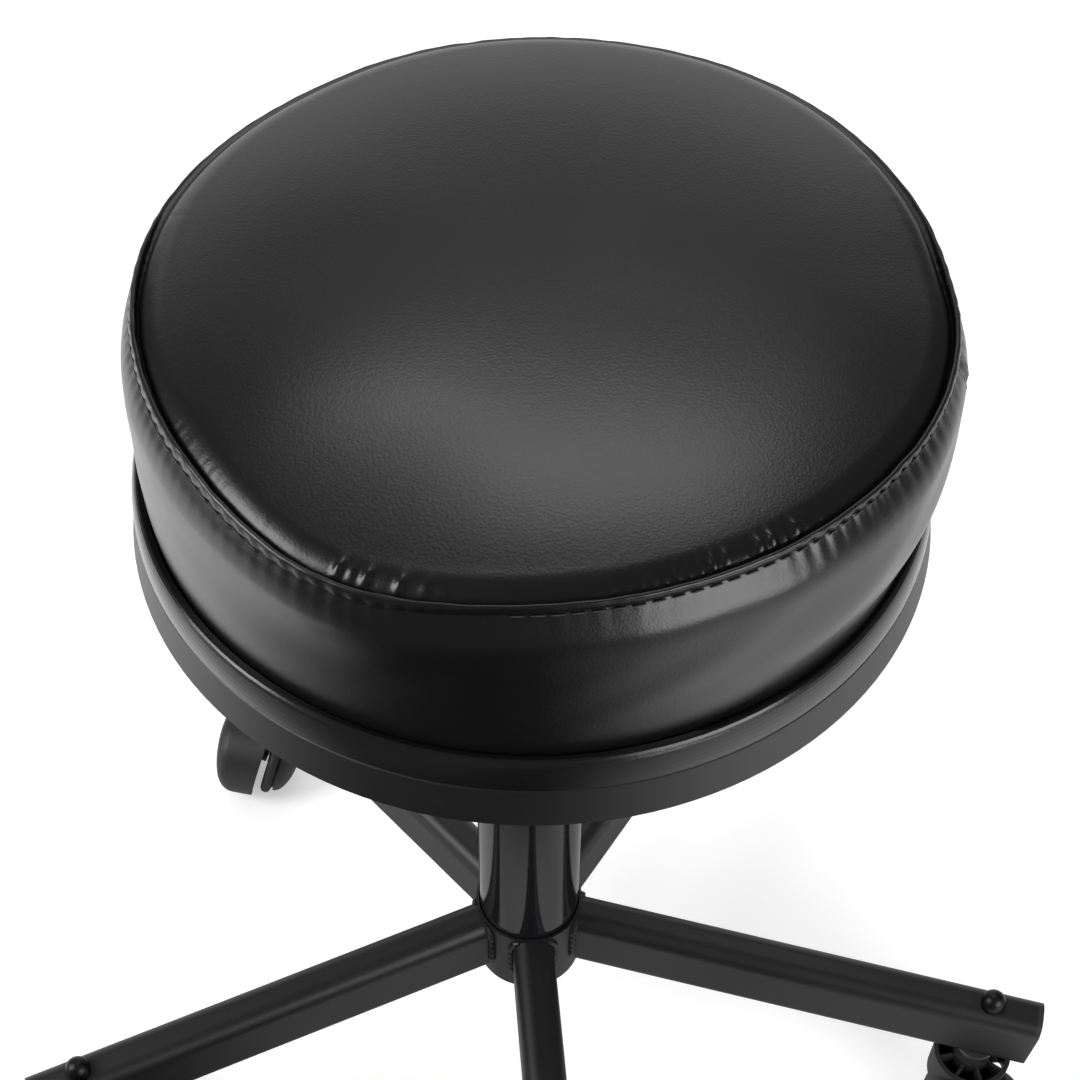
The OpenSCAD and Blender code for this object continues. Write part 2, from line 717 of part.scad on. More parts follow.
// Side of the cover, from its hem under the board up to the seam
band_top = welt_z - welt_w / 2 - soft_gap;
module seat_side_band() {
  color(vinyl_black) seat_up() difference() {
    rotate_extrude($fn = 180) polygon(concat(
      [[cover_low_r - hem_w, hem_z], [cover_low_r - 0.8, hem_z], [cover_low_r, hem_z + 0.8]],
      side_line(hem_z + 2, band_top, 0),
      [for (k = [side_steps : -1 : 0]) let (z = board_z - 0.1 + (band_top - board_z + 0.1) * k / side_steps)
        [low_r(z) - cover_t, z]],
      [[cover_low_r - cover_t - 0.2, hem_z + cover_t], [cover_low_r - hem_w, hem_z + cover_t]]
    ));
    around(ring_screw_count) ring_screw_hole();
  }
}

// Top of the cover, out to the seam
module seat_top_panel() {
  edge = seam_r - welt_t / 2 - soft_gap;
  color(vinyl_black) seat_up() rotate_extrude($fn = 180) polygon(concat(
    [for (k = [0 : crown_steps]) let (r = edge * k / crown_steps) [r, top_z(r) - cover_t]],
    crown_line(edge, 0)
  ));
}

// Folded edge of the top panel, turned down and sewn along the seam
module seat_welt() {
  lean = atan2(side_r(welt_z - 2) - side_r(welt_z + 2), 4);
  color(vinyl_black) seat_up() rotate_extrude($fn = 180) polygon([
    for (k = [0 : 23]) let (a = k * 15, u = welt_w / 2 * cos(a), v = welt_t / 2 * sin(a))
      [side_r(welt_z) - u * sin(lean) + v * cos(lean), welt_z + u * cos(lean) + v * sin(lean)]
  ]);
}

module caster_stem(i) {
  color(steel_grey) at_stem(i) {
    translate([0, 0, stem_foot + 0.5]) cylinder(h = stem_flange_top - stem_foot - 1, r = stem_d / 2, $fn = small_fn);
    translate([0, 0, stem_flange_top - flange_h]) cylinder(h = flange_h, r = flange_r, $fn = small_fn);
    translate([0, 0, stem_flange_top - 1]) cylinder(h = leg_wall + 9, r = stem_d / 2, $fn = small_fn);
    translate([0, 0, stem_flange_top]) cylinder(h = washer_top + thread_up - stem_flange_top, r = thread_r, $fn = small_fn);
  }
}

// Saddle washers, flat above and hollowed to the leg's round top
module stem_washers() {
  color(steel_grey) for (i = [1 : leg_count]) difference() {
    at_stem(i) translate([0, 0, leg_over_z - 3]) cylinder(h = washer_h + 3, r = washer_r, $fn = small_fn);
    on_leg(i) leg_run(stem_r - 2 * washer_r, stem_r + 2 * washer_r) leg_outline(-0.05);
    at_stem(i) translate([0, 0, leg_over_z - 10]) cylinder(h = 30, r = stem_hole_r, $fn = small_fn);
  }
}

// Cap nuts: a low straight foot under a round dome, bored for the thread
module stem_nuts() {
  color(steel_grey) for (i = [1 : leg_count]) at_stem(i) translate([0, 0, washer_top]) difference() {
    rotate_extrude($fn = small_fn) polygon(concat(
      [[0, 0], [nut_r, 0]],
      [for (k = [0 : 10]) let (a = 90 * k / 10) [nut_r * cos(a), nut_h + nut_r * sin(a)]]
    ));
    translate([0, 0, -1]) cylinder(h = thread_up + 1.5, r = thread_r + snug_fit, $fn = small_fn);
  }
}

// Half-space beyond the slot, seen from the wheel
module beyond_slot() {
  on_axle() translate([-3 * hood_r, -3 * hood_r, -wheel_side - slot_w]) cube([6 * hood_r, 6 * hood_r, 4 * hood_r]);
}

// Barrel round the axle's level, closed and rounded at the end away from the wheel
module barrel(r, end, rounding, reach) {
  translate([0, -trail, axle_z]) rotate([0, 90, 0]) rotate_extrude($fn = round_fn) polygon(concat(
    [[0, -end]],
    [for (k = [0 : 6]) let (a = 90 * k / 6) [r - rounding + rounding * sin(a), -end + rounding - rounding * cos(a)]],
    [[r, reach], [0, reach]]
  ));
}

module cup_pockets() {
  translate([0, 0, cup_top - pocket_depth]) difference() {
    cylinder(h = pocket_depth + 1, r = cup_r - hood_wall, $fn = round_fn);
    translate([0, 0, -1]) cylinder(h = pocket_depth + 3, r = boss_r, $fn = small_fn);
    around(rib_count) translate([0, -rib_t / 2, -1]) cube([cup_r, rib_t, pocket_depth]);
  }
}

module caster_hood(i) {
  cup_foot = cup_top - pocket_depth - hood_wall;
  color(plastic_black) at_caster(i) difference() {
    union() {
      difference() {
        barrel(hood_r, hood_end, hood_round, 30);
        barrel(hood_r - hood_wall, hood_end - hood_wall, hood_round - hood_wall, 40);
        beyond_slot();
      }
      translate([0, 0, cup_foot]) cylinder(h = cup_top - cup_foot, r = cup_r, $fn = round_fn);
      translate([0, 0, cup_top - 1]) cylinder(h = 2, r = boss_r, $fn = small_fn);
      intersection() {
        on_axle() translate([0, 0, -44]) cylinder(h = 44 - wheel_side - slot_w / 2, r = hub_r, $fn = small_fn);
        barrel(hood_r - 0.5, hood_end - 0.5, hood_round, 40);
      }
    }
    cup_pockets();
    on_axle() translate([0, 0, -wheel_side - slot_w / 2])
      cylinder(h = 60, r = wheel_r + dome_gap, $fn = round_fn);
    on_axle() translate([0, 0, -24]) cylinder(h = 60, r = axle_d / 2 + snug_fit, $fn = small_fn);
    translate([0, 0, stem_foot]) cylinder(h = 40, r = stem_d / 2 + run_fit, $fn = small_fn);
    translate([-3 * hood_r, -5 * hood_r, hood_clearance - 2 * hood_r]) cube([6 * hood_r, 8 * hood_r, 2 * hood_r]);
  }
}

module caster_axle(i) {
  color(steel_grey) at_caster(i) on_axle() translate([0, 0, -23.5]) cylinder(h = 23.5 + wheel_w - wheel_side - 5, r = axle_d / 2, $fn = small_fn);
}

// Wheel core: tread seat, groove, smooth dome and a shallow ribbed recess behind, turned about local Z
core_r = wheel_r - tread_h;
recess = 3;
dome_steps = 12;
module wheel_core(i) {
  tip = wheel_w - wheel_side;
  color(plastic_black) at_caster(i) on_axle() difference() {
    union() {
      difference() {
        rotate_extrude($fn = round_fn) polygon(concat(
          [[0, -wheel_side], [core_r, -wheel_side], [core_r, wheel_side + 0.2], [core_r - 0.8, wheel_side + 0.6],
           [core_r - 0.8, wheel_side + 1.4]],
          [for (k = [0 : dome_steps]) let (a = 90 * k / dome_steps)
            [(core_r + 0.8) * cos(a), wheel_side + 1.4 + (tip - wheel_side - 1.4) * sin(a)]]
        ));
        translate([0, 0, -wheel_side - 1]) difference() {
          cylinder(h = recess + 1, r = core_r - 3, $fn = round_fn);
          around(6) translate([hub_r - 1, -rib_t / 2, 0]) cube([core_r - hub_r, rib_t, recess + 2]);
          cylinder(h = recess + 2, r = hub_r, $fn = small_fn);
        }
      }
      translate([0, 0, -wheel_side - 0.8]) cylinder(h = 2, r = hub_r, $fn = small_fn);
    }
    translate([0, 0, -wheel_side - 2]) cylinder(h = wheel_w + 2 - 4, r = axle_d / 2 + run_fit, $fn = small_fn);
  }
}

// Soft tread with a round crown, on the core's rim
module wheel_tread(i) {
  inner = core_r + snug_fit;
  color(rubber_grey) at_caster(i) on_axle() rotate_extrude($fn = round_fn) polygon(concat(
    [[inner, -wheel_side]],
    [for (k = [0 : 16]) let (a = -80 + 160 * k / 16)
      [tread_mid_r + wheel_side * cos(a), wheel_side * sin(a)]],
    [[inner, wheel_side]]
  ));
}

hub_collar();
leg(1);  // leg_1
leg(2);  // leg_2
leg(3);  // leg_3
leg(4);  // leg_4
leg(5);  // leg_5
leg_welds();
leg_end_caps();
column_tube();
guide_bush();
thrust_bearing();
caster_stem(1);  // caster_stem_1
caster_stem(2);  // caster_stem_2
caster_stem(3);  // caster_stem_3
caster_stem(4);  // caster_stem_4
caster_stem(5);  // caster_stem_5
stem_washers();
stem_nuts();
piston_rod();
piston();
rod_clip();
rod_buffer();
gas_cylinder();
seat_plate();
plate_bolts();
plate_nuts();
seat_board();
seat_ring();
ring_screws();
seat_foam();
seat_side_band();
seat_top_panel();
seat_welt();
lever_pivot();
release_lever();
lever_grip();
release_pin();
caster_hood(1);  // caster_hood_1
caster_hood(2);  // caster_hood_2
caster_hood(3);  // caster_hood_3
caster_hood(4);  // caster_hood_4
caster_hood(5);  // caster_hood_5
caster_axle(1);  // caster_axle_1
caster_axle(2);  // caster_axle_2
caster_axle(3);  // caster_axle_3
caster_axle(4);  // caster_axle_4
caster_axle(5);  // caster_axle_5
wheel_core(1);  // wheel_core_1
wheel_core(2);  // wheel_core_2
wheel_core(3);  // wheel_core_3
wheel_core(4);  // wheel_core_4
wheel_core(5);  // wheel_core_5
wheel_tread(1);  // wheel_tread_1
wheel_tread(2);  // wheel_tread_2
wheel_tread(3);  // wheel_tread_3
wheel_tread(4);  // wheel_tread_4
wheel_tread(5);  // wheel_tread_5
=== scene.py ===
# %% [markdown]
# A rolling stool for the workshop. The welded base, the gas lift, the seat ring and the casters come in as a fixed
# model, so this lesson only dresses them: it makes the sewn cushion, lays the stitches, and gives every piece the
# finish that it has on the real stool. Everything is in metres, in the model's own frame: Z is up along the column,
# the floor is Z = 0, and one leg points to the front, along -Y.

# %% Load the model
import math

import bpy
import numpy as np
from mathutils import Matrix, Vector


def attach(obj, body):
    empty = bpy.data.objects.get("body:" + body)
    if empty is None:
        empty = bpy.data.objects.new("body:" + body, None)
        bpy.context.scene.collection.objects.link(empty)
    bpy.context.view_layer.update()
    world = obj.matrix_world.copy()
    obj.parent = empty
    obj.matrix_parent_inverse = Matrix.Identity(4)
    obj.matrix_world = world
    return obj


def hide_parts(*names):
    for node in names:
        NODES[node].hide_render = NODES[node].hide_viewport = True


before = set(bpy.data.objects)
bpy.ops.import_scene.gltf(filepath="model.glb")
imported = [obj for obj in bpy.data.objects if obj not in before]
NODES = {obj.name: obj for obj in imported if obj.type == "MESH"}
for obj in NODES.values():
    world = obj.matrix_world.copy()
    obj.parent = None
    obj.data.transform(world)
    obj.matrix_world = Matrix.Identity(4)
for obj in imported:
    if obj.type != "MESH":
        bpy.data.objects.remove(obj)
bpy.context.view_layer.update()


# %% [markdown]
# The camera comes first, because it decides how the stool is seen. A photographer stood close, looked down on the
# seat by 55 degrees and used a short telephoto lens. A camera can be aimed by eye or solved from the picture. Here the
# ellipses of the seat ring, the seam and the hub, and the edges of the legs, gave its place and its lens. The picture
# was cut from a larger frame, and the lens shift stands for that cut.

# %% Camera
def place_camera(height, distance, elevation, azimuth, roll):
    """Puts a camera at a distance from a point on the column's axis and returns it."""
    e, a, r = math.radians(elevation), math.radians(azimuth), math.radians(roll)
    out = Vector((math.cos(e) * math.cos(a), math.cos(e) * math.sin(a), math.sin(e)))
    right = Vector((-math.sin(a), math.cos(a), 0))
    up = out.cross(right)
    x = right * math.cos(r) + up * math.sin(r)
    y = up * math.cos(r) - right * math.sin(r)
    data = bpy.data.cameras.new("camera")
    camera = bpy.data.objects.new("camera", data)
    bpy.context.scene.collection.objects.link(camera)
    camera.matrix_world = Matrix((x, y, out)).transposed().to_4x4()
    camera.location = Vector((0, 0, height)) + out * distance
    return camera


CAMERA_AZIMUTH = -95.14
camera = place_camera(0.2422, 0.8894, 55.06, CAMERA_AZIMUTH, 0.45)
camera.data.sensor_width = 36
camera.data.lens = 63.76
camera.data.shift_x = 0.0091
camera.data.shift_y = 0.206
camera.data.clip_start = 0.01
bpy.context.scene.camera = camera
print("camera at", [round(v, 3) for v in camera.location])


# %% [markdown]
# A material is a small sheet of sums: noise times a strength, added to a roughness. Written out node by node it takes
# pages, so a small class wraps a node's output and lets Python's own signs add the Math nodes. One method adds any
# other node, with its settings first and its sockets after them.

# %% Node trees written as sums
class Socket:
    """An output of a node, on which + - * and ** add Math nodes."""

    def __init__(self, tree, out):
        self.tree, self.out = tree, out

    def math(self, operation, *values):
        return self.tree.node("ShaderNodeMath", {"operation": operation}, dict(enumerate(values)))

    def __add__(self, other):
        return self.math("ADD", self, other)

    def __sub__(self, other):
        return self.math("SUBTRACT", self, other)

    def __rsub__(self, other):
        return self.math("SUBTRACT", other, self)

    def __mul__(self, other):
        return self.math("MULTIPLY", self, other)

    def __pow__(self, other):
        return self.math("POWER", self, other)

    __radd__, __rmul__ = __add__, __mul__

    def size(self):
        return self.math("ABSOLUTE", self)

    def clip(self):
        return self.tree.node("ShaderNodeClamp", {}, {"Value": self})


class Tree:
    """A node tree that is filled by calls of one method."""

    def __init__(self, nodes):
        self.nodes = nodes

    def node(self, kind, settings=None, values=None, out=0):
        made = self.nodes.nodes.new(kind)
        for key, setting in (settings or {}).items():
            if key == "stops":
                ramp = made.color_ramp
                while len(ramp.elements) < len(setting):
                    ramp.elements.new(0.5)
                for element, (place, colour) in zip(ramp.elements, setting):
                    element.position, element.color = place, (*colour, 1)
            else:
                setattr(made, key, setting)
        for key, value in (values or {}).items():
            if isinstance(value, Socket):
                self.nodes.links.new(value.out, made.inputs[key])
            else:
                made.inputs[key].default_value = value
        return Socket(self, made.outputs[out]) if len(made.outputs) else made

    def outs(self, kind, *names, values=None):
        """Adds a node and returns several of its outputs."""
        made = self.node(kind, {}, values).out.node
        return [Socket(self, made.outputs[name]) for name in names]

    def between(self, value, low, high):
        """0 below low, 1 above high and a smooth step from one to the other."""
        return self.node("ShaderNodeMapRange", {"interpolation_type": "SMOOTHSTEP"},
                         {"Value": value, "From Min": low, "From Max": high})


# %% Finishes
COLOUR_MIX = {"data_type": "RGBA"}


class Finish(Tree):
    """A material whose pattern is in object coordinates, in metres."""

    def __init__(self, name):
        self.material = bpy.data.materials.new(name)
        self.material.use_nodes = True
        super().__init__(self.material.node_tree)
        self.nodes.nodes.clear()
        self.place = self.node("ShaderNodeTexCoord", out="Object")

    def stretched(self, scale):
        return self.node("ShaderNodeMapping", {}, {"Vector": self.place, "Scale": scale})

    def noise(self, scale, detail=3.0, rough=0.5, warp=0.0, place=None):
        return self.node("ShaderNodeTexNoise", {}, {"Vector": place or self.place, "Scale": scale, "Detail": detail,
                                                    "Roughness": rough, "Distortion": warp})

    def cells(self, scale, feature="F1"):
        return self.node("ShaderNodeTexVoronoi", {"feature": feature}, {"Vector": self.place, "Scale": scale})

    def blend(self, factor, a, b):
        wrap = lambda c: c if isinstance(c, Socket) else (*c, 1)
        return self.node("ShaderNodeMix", COLOUR_MIX, {0: factor, 6: wrap(a), 7: wrap(b)}, out=2)

    def bump(self, height, depth, strength=1.0, under=None):
        values = {"Height": height, "Distance": depth, "Strength": strength}
        if under:
            values["Normal"] = under
        return self.node("ShaderNodeBump", {}, values)

    def shade(self, **sockets):
        """Ends the sheet in a Principled surface; the words are socket names with _ for a space."""
        values = {}
        for key, value in sockets.items():
            name = {"specular": "Specular IOR Level"}.get(key, key.replace("_", " ").title())
            values[name] = (*value, 1) if isinstance(value, tuple) else value
        surface = self.node("ShaderNodeBsdfPrincipled", {}, values)
        self.node("ShaderNodeOutputMaterial", {}, {"Surface": surface})
        return self.material


def wear(node_names, material):
    """Gives CAD nodes a finish through their own material slots."""
    for name in node_names:
        slots = NODES[name].material_slots
        if not slots:
            NODES[name].data.materials.append(material)
        for slot in slots:
            slot.material = material


def numbered(name):
    return [f"{name}_{i}" for i in range(1, 6)]


# %% [markdown]
# The base and the seat ring are welded or pressed steel under a satin powder coat. Powder melts into a skin with a
# very fine orange peel, a little glossier where it lies thick, and it rubs grey where it is handled. A flat grey would
# look like paper, so the roughness and the bump both follow a fine noise. On the seat ring the rolled bead shines more
# than the band under it, so from the groove up the coat is glossier.

# %% Powder coat
BEAD_FROM, BEAD_TO = 0.4402, 0.4412


def powder_coat():
    f = Finish("satin powder coat")
    peel = f.noise(1500, 2)
    cloud = f.noise(22, 3)
    rub = f.between(f.noise(60, 5, 0.6), 0.62, 0.8)
    height, = f.outs("ShaderNodeSeparateXYZ", "Z", values={0: f.place})
    polish = f.between(height, BEAD_FROM, BEAD_TO)
    colour = f.blend(cloud, (0.0045, 0.0045, 0.005), (0.008, 0.008, 0.0085))
    colour = f.blend(rub * 0.2, colour, (0.025, 0.025, 0.026))
    return f.shade(base_color=colour, roughness=0.40 + cloud * 0.08 + rub * 0.06 - polish * 0.24, specular=0.5,
                   normal=f.bump(peel, 0.00006, 0.5, f.bump(cloud, 0.0004, 0.3)))


SATIN = powder_coat()
wear(["hub_collar", "leg_welds", "seat_plate", "seat_ring"] + numbered("leg"), SATIN)
print("powder coat on the welded frame")


# %% [markdown]
# The column is the one glossy metal piece: an enamelled tube that mirrors the floor between the legs. Its surface is
# nearly flat, so the only detail is a slow ripple that bends the reflections, and fine dust that takes the edge off
# the gloss.

# %% Column enamel
def enamel():
    f = Finish("gloss black enamel")
    ripple = f.noise(9, 1, place=f.stretched((1, 1, 0.2)))
    dust = f.between(f.noise(900, 2), 0.6, 0.75)
    smear = f.noise(30, 4, 0.6, place=f.stretched((1, 1, 0.3)))
    return f.shade(base_color=f.blend(dust * 0.2, (0.006, 0.006, 0.007), (0.05, 0.05, 0.05)),
                   roughness=0.06 + smear * 0.06 + dust * 0.1, specular=0.5,
                   normal=f.bump(ripple, 0.0008, 0.35))


wear(["column_tube"], enamel())
print("enamel on the column")


# %% [markdown]
# Steel that isn't painted is zinc plated or ground. Zinc has a milky sheen with faint cloudy patches, and ground steel
# has fine lines round its axis. Both are metals, so their colour sits in the reflection and the pattern goes into the
# roughness.

# %% Bare and plated steel
def plated(name, tint, rough):
    f = Finish(name)
    cloud = f.noise(120, 4, 0.6)
    pit = f.between(f.noise(2200, 2), 0.6, 0.75)
    return f.shade(base_color=f.blend(cloud, tint, tuple(c * 0.82 for c in tint)), metallic=1.0,
                   roughness=rough + cloud * 0.15 + pit * 0.1, normal=f.bump(cloud + pit * 0.3, 0.00008, 0.4))


def ground():
    f = Finish("ground steel")
    lines = f.noise(40, 4, 0.7, place=f.stretched((1, 1, 60)))
    return f.shade(base_color=f.blend(lines, (0.56, 0.56, 0.57), (0.42, 0.42, 0.43)), metallic=1.0,
                   roughness=0.14 + lines * 0.2, normal=f.bump(lines, 0.00003, 0.4))


ZINC = plated("zinc plate", (0.60, 0.60, 0.58), 0.25)
BLACKENED = plated("blackened steel", (0.035, 0.035, 0.037), 0.32)
wear(["plate_bolts", "plate_nuts", "ring_screws", "lever_pivot", "release_lever"] + numbered("caster_stem")
     + numbered("caster_axle"), ZINC)
wear(["stem_nuts", "stem_washers"], BLACKENED)
wear(["thrust_bearing", "piston_rod", "piston", "rod_clip", "gas_cylinder", "release_pin"], ground())
print("steel on the fasteners and the lift")


# %% [markdown]
# The casters, end caps and lever grip are moulded in black nylon. The mould was spark eroded, so the plastic has an
# even, very fine matt grain, with faint flow clouds. The treads are a softer, duller rubber.

# %% Plastic and rubber
def moulded(name, tone, rough, grain):
    f = Finish(name)
    fine = f.noise(grain, 2)
    cloud = f.noise(45, 3)
    scuff = f.between(f.noise(260, 5, 0.65, place=f.stretched((1, 1, 0.25))), 0.66, 0.8)
    colour = f.blend(cloud, (tone, tone, tone * 1.04), (tone * 1.5, tone * 1.5, tone * 1.55))
    colour = f.blend(scuff * 0.3, colour, (tone * 4, tone * 4, tone * 4))
    return f.shade(base_color=colour, roughness=rough + cloud * 0.08 + scuff * 0.08, specular=0.45,
                   normal=f.bump(fine, 0.00008, 0.6))


NYLON = moulded("moulded nylon", 0.014, 0.42, 1800)
RUBBER = moulded("tread rubber", 0.018, 0.62, 1200)
wear(["leg_end_caps", "guide_bush", "lever_grip"] + numbered("caster_hood") + numbered("wheel_core"), NYLON)
wear(numbered("wheel_tread") + ["rod_buffer"], RUBBER)
print("plastic and rubber on the casters")


# %% [markdown]
# The seat board is plywood. It is nearly hidden, but from below its face grain shows through the ring's opening. Wood
# grain is a stretched noise run through a ramp: long in one direction and tight across it.

# %% Plywood
def plywood():
    f = Finish("birch plywood")
    grain = f.noise(30, 6, 0.6, 0.6, f.stretched((1, 9, 9)))
    ply = f.between(f.noise(1, 0, place=f.stretched((0, 0, 420))), 0.4, 0.6)
    light = f.blend(grain, (0.62, 0.45, 0.27), (0.42, 0.27, 0.14))
    return f.shade(base_color=f.blend(ply * 0.35, light, (0.34, 0.22, 0.12)), roughness=0.6 + grain * 0.15,
                   normal=f.bump(grain, 0.0002, 0.5))


wear(["seat_board"], plywood())
print("plywood under the cushion")


# %% [markdown]
# The cushion is a block of foam in a sewn vinyl cover: a round top panel, a side band, and a seam between them whose
# edge is folded down and topstitched. A lathe could turn the bare form, but a real cover is tight between its seams
# and a little uneven. So its outline is drawn first, then a slightly smaller skin is blown up as cloth, and the panels
# are laid over what comes out.

# %% The cushion's outline
RING_Z = 0.423
RING_H, BULGE_H, SHOULDER_H, SEAM_H = 0.031, 0.084, 0.087, 0.106
LOW_R, BULGE_R, SEAM_R = 0.144, 0.148, 0.141
CROWN_H, COVER_T, HEM_Z = 0.010, 0.0012, 0.0025
BOARD_TOP, BOARD_R = 0.0158, 0.1425


def side_r(z):
    z = np.asarray(z, float)
    high = BULGE_R - (BULGE_R - SEAM_R) * np.clip((z - SHOULDER_H) / (SEAM_H - SHOULDER_H), 0, None) ** 1.6
    low = BULGE_R - (BULGE_R - LOW_R) * np.clip((BULGE_H - z) / (BULGE_H - RING_H), 0, 1) ** 1.6
    return np.where(z > BULGE_H, high, low)


def top_z(r):
    return SEAM_H + CROWN_H * (1 - (np.asarray(r, float) / SEAM_R) ** 3)


def smooth(x, low, high):
    """0 below low, 1 above high and a smooth step from one to the other."""
    t = np.clip((np.asarray(x, float) - low) / (high - low), 0, 1)
    return t * t * (3 - 2 * t)


print("cushion", round(2 * BULGE_R, 3), "across, its top at", round(RING_Z + SEAM_H + CROWN_H, 3))


# %% A mesh from rings of points
def skin(name, rings, material, close_start=False, close_end=False):
    """Joins rings of points (ring, step, xyz) into one mesh; a closed end gets a middle point, and with neither end
    closed the last ring joins the first, so the wall is a closed shell."""
    rings = np.asarray(rings, float)
    count, steps = rings.shape[:2]
    points = rings.reshape(-1, 3)
    j = np.arange(steps)
    faces = []
    for i in range(count - 1 if close_start or close_end else count):
        a, b = i * steps + j, ((i + 1) % count) * steps + j
        faces.append(np.stack([a, np.roll(a, -1), np.roll(b, -1), b], 1))
    faces = [tuple(q) for q in np.concatenate(faces).tolist()]
    for closed, ring, turn in ((close_start, 0, -1), (close_end, count - 1, 1)):
        if closed:
            points = np.vstack([points, rings[ring].mean(0)])
            a = ring * steps + j
            fan = np.stack([a, np.roll(a, -1), np.full(steps, len(points) - 1)], 1)
            faces += [tuple(t[::turn]) for t in fan.tolist()]
    mesh = bpy.data.meshes.new(name)
    mesh.from_pydata(points.tolist(), [], faces)
    mesh.materials.append(material)
    mesh.shade_smooth()
    piece = bpy.data.objects.new(name, mesh)
    bpy.context.scene.collection.objects.link(piece)
    return piece


def turned(r, z, azimuth):
    """Points at radius r and height z above the ring's foot, for azimuths in degrees."""
    a = np.radians(azimuth)
    return np.stack([r * np.cos(a), r * np.sin(a), z + RING_Z], -1)


def volume(piece):
    mesh = piece.data
    mesh.calc_loop_triangles()
    v = np.array([p.co for p in mesh.vertices])
    t = v[np.array([list(p.vertices) for p in mesh.loop_triangles])]
    return float(np.einsum("ij,ij->i", t[:, 0], np.cross(t[:, 1], t[:, 2])).sum() / 6)


# %% [markdown]
# Vinyl is a printed grain on a smooth skin with a soft shine. Up close it has fine pebbles, and from a step away only
# the sheen is seen, with slow changes where hands and seams have stretched it.

# %% Vinyl
def vinyl():
    f = Finish("black vinyl")
    pebble = f.cells(1100, "SMOOTH_F1")
    fine = f.noise(2600, 2)
    cloud = f.noise(16, 4, 0.55)
    speck = f.between(f.noise(700, 2), 0.68, 0.78)
    colour = f.blend(cloud, (0.0035, 0.0035, 0.0040), (0.0055, 0.0055, 0.0060))
    colour = f.blend(speck * 0.10, colour, (0.05, 0.05, 0.05))
    return f.shade(base_color=colour, roughness=0.27 + cloud * 0.06 + speck * 0.05, specular=0.5,
                   normal=f.bump(fine, 0.00003, 0.4, f.bump(pebble, 0.00010, 0.35)))


VINYL = vinyl()


def foam():
    f = Finish("cream foam")
    pore = f.cells(700)
    tint = f.noise(30, 3)
    return f.shade(base_color=f.blend(tint, (0.80, 0.72, 0.50), (0.70, 0.61, 0.40)), roughness=0.85,
                   normal=f.bump(pore, 0.0006, 0.8))


FOAM = foam()


# %% [markdown]
# A sewn seam never runs true. Seen from the front it droops on the left, where the cover was pulled down harder, and
# rises on the right, and the whole cushion leans a few millimetres to one side in its ring. These are read off the
# photograph as a few heights and joined by a smooth curve.

# %% How the seam wanders
def around(points, azimuth, soften=5.0):
    """A smooth closed curve through (azimuth, value) points."""
    points = sorted(((a % 360), v) for a, v in points)
    a = np.array([points[-1][0] - 360] + [p[0] for p in points] + [points[0][0] + 360])
    v = np.array([points[-1][1]] + [p[1] for p in points] + [points[0][1]])
    total = 0
    for shift in np.linspace(-soften, soften, 9):
        total = total + np.interp((np.asarray(azimuth, float) + shift) % 360, a, v)
    return total / 9


def ripple(azimuth, seed, low, high, power=1.0):
    """A fixed sum of waves round the cushion, about -1 to 1."""
    wheel = np.random.default_rng(seed)
    counts = np.arange(low, high + 1)
    sizes = wheel.normal(0, 1, len(counts)) / (counts / low) ** power
    turns = wheel.uniform(0, 2 * math.pi, len(counts))
    total = sum(s * np.cos(n * np.radians(azimuth) + t) for n, s, t in zip(counts, sizes, turns))
    return total / np.sqrt((sizes ** 2).sum() / 2) / 2


SEEN = CAMERA_AZIMUTH + 90
# Azimuth as the camera sees it, with the front at -90, and millimetres out or up
SEAM_OUT = [(-160, -2.6), (-145, -1.5), (-135, 0.5), (-126, 3), (-117, 4.6), (-108, 3.4), (-97, 1.3), (-88, 0),
            (-70, -1), (-45, -1), (-25, 0), (-8, -0.8), (5, -3.6), (25, -2.2), (45, 0.4), (60, 1.2), (90, 0.6),
            (110, -0.6), (128, -3.2), (150, -2.8), (170, -2.6)]
SEAM_UP = [(-160, 1.2), (-145, 1), (-135, -0.3), (-126, -2.1), (-117, -3.2), (-108, -2.4), (-97, -0.9), (-88, 0),
           (-70, 0.7), (-45, 0.8), (-25, 0.7), (0, 0), (25, 0.4), (60, 0.4), (90, 0.4), (135, 0.4), (170, 0.8)]


def wrapped(angle):
    """The same angle between -180 and 180 degrees."""
    return (angle + 180) % 360 - 180


def seam_shift(azimuth):
    """How far the seam lies out and up from its circle, in metres."""
    seen = np.asarray(azimuth, float) - SEEN
    return around(SEAM_OUT, seen) * 0.001, around(SEAM_UP, seen) * 0.001


def lean(z):
    """The cushion's offset to the right of the picture at a height above the ring's foot."""
    size = 0.0032 * smooth(z, RING_H + 0.002, 0.075)
    a = math.radians(SEEN)
    return np.stack([size * math.cos(a), size * math.sin(a), size * 0], -1)


print("the seam wanders by", [round(float(v) * 1000, 1) for v in seam_shift(np.array([-122.0, -35.0]))[0]], "mm")


# %% [markdown]
# Blowing up the skin: a copy of the form is drawn in by a few millimetres, remeshed into even squares and run as
# cloth with air pressure inside. The seam and the hem are pinned, so it swells between them as a stuffed cover does.
# Only the distance that each place moved is kept, as a coarse map that the fine panels then follow.

# %% Blow up the cover
DRAWN_IN = 0.0035
SIDE_U = np.linspace(0, 1, 15)
TOP_U = np.linspace(0, 1, 13)
MAP_AZ = np.arange(0, 360, 5.0)


def side_height(u):
    return RING_H + (SEAM_H - 0.001 - RING_H) * np.asarray(u, float)


def side_normal(z):
    slope = (side_r(z + 1e-4) - side_r(z - 1e-4)) / 2e-4
    n = np.stack([np.ones_like(slope), -slope], -1)
    return n / np.linalg.norm(n, axis=-1, keepdims=True)


